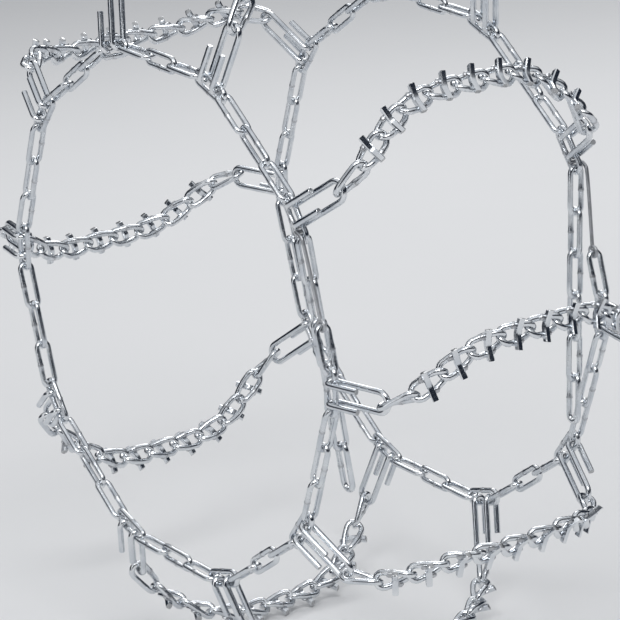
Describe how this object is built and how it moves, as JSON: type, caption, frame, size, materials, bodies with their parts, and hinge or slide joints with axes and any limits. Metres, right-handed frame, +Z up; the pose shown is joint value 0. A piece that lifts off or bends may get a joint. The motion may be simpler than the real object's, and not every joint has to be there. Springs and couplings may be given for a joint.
{
  "type": "tire snow chain",
  "caption": "Ladder tyre chain with V-bar cross chains hooked between two side chains, wire fasteners at the closure and hanging tails of surplus chain.",
  "frame": {"origin": "middle of the tyre that the chain is laid on: on the axle, halfway between the side chains", "axes": "Y along the axle with the outer side of the wheel at -Y, Z up, X to the right seen from outside"},
  "size_m": [0.6376, 0.2834, 0.6192],
  "materials": {
    "side_chain": "bright zinc plate",
    "cross_chain": "bright zinc plate, hardened bars",
    "hook": "bright zinc plate",
    "fastener": "dull zinc plate"
  },
  "bodies": {
    "panel_1": {"outer_run_1": "side_chain", "inner_run_1": "side_chain", "outer_hook_1": "hook", "inner_hook_1": "hook", "cross_chain_1": "cross_chain"},
    "panel_2": {"outer_run_2": "side_chain", "inner_run_2": "side_chain", "outer_hook_2": "hook", "inner_hook_2": "hook", "cross_chain_2": "cross_chain"},
    "panel_3": {"outer_run_3": "side_chain", "inner_run_3": "side_chain", "outer_hook_3": "hook", "inner_hook_3": "hook", "cross_chain_3": "cross_chain"},
    "panel_4": {"outer_run_4": "side_chain", "inner_run_4": "side_chain", "outer_hook_4": "hook", "inner_hook_4": "hook", "cross_chain_4": "cross_chain"},
    "panel_5": {"outer_run_5": "side_chain", "inner_run_5": "side_chain", "outer_hook_5": "hook", "inner_hook_5": "hook", "cross_chain_5": "cross_chain"},
    "panel_6": {"outer_run_6": "side_chain", "inner_run_6": "side_chain", "outer_hook_6": "hook", "inner_hook_6": "hook", "cross_chain_6": "cross_chain"},
    "panel_7": {"outer_run_7": "side_chain", "inner_run_7": "side_chain", "outer_hook_7": "hook", "inner_hook_7": "hook", "cross_chain_7": "cross_chain"},
    "panel_8": {"outer_run_8": "side_chain", "inner_run_8": "side_chain", "outer_hook_8": "hook", "inner_hook_8": "hook", "cross_chain_8": "cross_chain"},
    "panel_9": {"outer_run_9": "side_chain", "inner_run_9": "side_chain", "outer_hook_9": "hook", "inner_hook_9": "hook", "cross_chain_9": "cross_chain"},
    "panel_10": {"outer_run_10": "side_chain", "inner_run_10": "side_chain", "outer_hook_10": "hook", "inner_hook_10": "hook", "cross_chain_10": "cross_chain"},
    "outer_end_link": {"outer_end_link": "side_chain"},
    "outer_fastener": {"outer_fastener": "fastener"},
    "outer_tail_1": {"outer_tail_1": "side_chain"},
    "outer_tail_2": {"outer_tail_2": "side_chain"},
    "outer_tail_3": {"outer_tail_3": "side_chain"},
    "inner_end_link": {"inner_end_link": "side_chain"},
    "inner_fastener": {"inner_fastener": "fastener"},
    "inner_tail_1": {"inner_tail_1": "side_chain"},
    "inner_tail_2": {"inner_tail_2": "side_chain"},
    "inner_tail_3": {"inner_tail_3": "side_chain"}
  },
  "joints": [
    {"name": "unwrap_6", "type": "hinge", "parent": "panel_7", "child": "panel_6", "pos_m": [-0.10474, 0, -0.19086], "axis": [0, -1, 0], "range_deg": [0, 36]},
    {"name": "unwrap_5", "type": "hinge", "parent": "panel_6", "child": "panel_5", "pos_m": [-0.19692, 0, -0.09284], "axis": [0, -1, 0], "range_deg": [0, 36]},
    {"name": "unwrap_4", "type": "hinge", "parent": "panel_5", "child": "panel_4", "pos_m": [-0.21389, 0, 0.04064], "axis": [0, -1, 0], "range_deg": [0, 36]},
    {"name": "unwrap_3", "type": "hinge", "parent": "panel_4", "child": "panel_3", "pos_m": [-0.14915, 0, 0.1586], "axis": [0, -1, 0], "range_deg": [0, 36]},
    {"name": "unwrap_2", "type": "hinge", "parent": "panel_3", "child": "panel_2", "pos_m": [-0.02745, 0, 0.21598], "axis": [0, -1, 0], "range_deg": [0, 36]},
    {"name": "unwrap_1", "type": "hinge", "parent": "panel_2", "child": "panel_1", "pos_m": [0.10474, 0, 0.19086], "axis": [0, -1, 0], "range_deg": [0, 36]},
    {"name": "unwrap_8", "type": "hinge", "parent": "panel_7", "child": "panel_8", "pos_m": [0.02745, 0, -0.21598], "axis": [0, 1, 0], "range_deg": [0, 36]},
    {"name": "unwrap_9", "type": "hinge", "parent": "panel_8", "child": "panel_9", "pos_m": [0.14915, 0, -0.1586], "axis": [0, 1, 0], "range_deg": [0, 36]},
    {"name": "unwrap_10", "type": "hinge", "parent": "panel_9", "child": "panel_10", "pos_m": [0.21389, 0, -0.04064], "axis": [0, 1, 0], "range_deg": [0, 36]},
    {"name": "outer_end_link_swing", "type": "hinge", "parent": "panel_10", "child": "outer_end_link", "pos_m": [0.2172, -0.134, -0.00753], "axis": [0.9925, 0, -0.1219], "range_deg": [0, 60]},
    {"name": "outer_fastener_turn", "type": "hinge", "parent": "outer_end_link", "child": "outer_fastener", "pos_m": [0.21012, -0.134, 0.02499], "axis": [0, 1, 0], "range_deg": [0, 90]},
    {"name": "outer_tail_1_swing", "type": "hinge", "parent": "panel_1", "child": "outer_tail_1", "pos_m": [0.19622, -0.134, 0.09259], "axis": [0, 0.9945, 0.1045], "range_deg": [0, 60]},
    {"name": "outer_tail_2_swing", "type": "hinge", "parent": "outer_tail_1", "child": "outer_tail_2", "pos_m": [0.19622, -0.12697, 0.0257], "axis": [0, 0.9945, 0.1045], "range_deg": [0, 30]},
    {"name": "outer_tail_3_swing", "type": "hinge", "parent": "outer_tail_2", "child": "outer_tail_3", "pos_m": [0.19622, -0.11994, -0.04118], "axis": [0, 0.9945, 0.1045], "range_deg": [0, 30]},
    {"name": "inner_end_link_swing", "type": "hinge", "parent": "panel_10", "child": "inner_end_link", "pos_m": [0.2172, 0.134, -0.00753], "axis": [-0.9925, 0, 0.1219], "range_deg": [0, 60]},
    {"name": "inner_fastener_turn", "type": "hinge", "parent": "inner_end_link", "child": "inner_fastener", "pos_m": [0.21012, 0.134, 0.02499], "axis": [0, 1, 0], "range_deg": [0, 90]},
    {"name": "inner_tail_1_swing", "type": "hinge", "parent": "panel_1", "child": "inner_tail_1", "pos_m": [0.19622, 0.134, 0.09259], "axis": [0, 0.9945, -0.1045], "range_deg": [0, 60]},
    {"name": "inner_tail_2_swing", "type": "hinge", "parent": "inner_tail_1", "child": "inner_tail_2", "pos_m": [0.19622, 0.12697, 0.0257], "axis": [0, 0.9945, -0.1045], "range_deg": [0, 30]},
    {"name": "inner_tail_3_swing", "type": "hinge", "parent": "inner_tail_2", "child": "inner_tail_3", "pos_m": [0.19622, 0.11994, -0.04118], "axis": [0, 0.9945, -0.1045], "range_deg": [0, 30]}
  ],
  "couplings": [
    {"joint": "unwrap_5", "follows": "unwrap_6", "ratio": 1},
    {"joint": "unwrap_4", "follows": "unwrap_6", "ratio": 1},
    {"joint": "unwrap_3", "follows": "unwrap_6", "ratio": 1},
    {"joint": "unwrap_2", "follows": "unwrap_6", "ratio": 1},
    {"joint": "unwrap_1", "follows": "unwrap_6", "ratio": 1},
    {"joint": "unwrap_8", "follows": "unwrap_6", "ratio": 1},
    {"joint": "unwrap_9", "follows": "unwrap_6", "ratio": 1},
    {"joint": "unwrap_10", "follows": "unwrap_6", "ratio": 1}
  ]
}
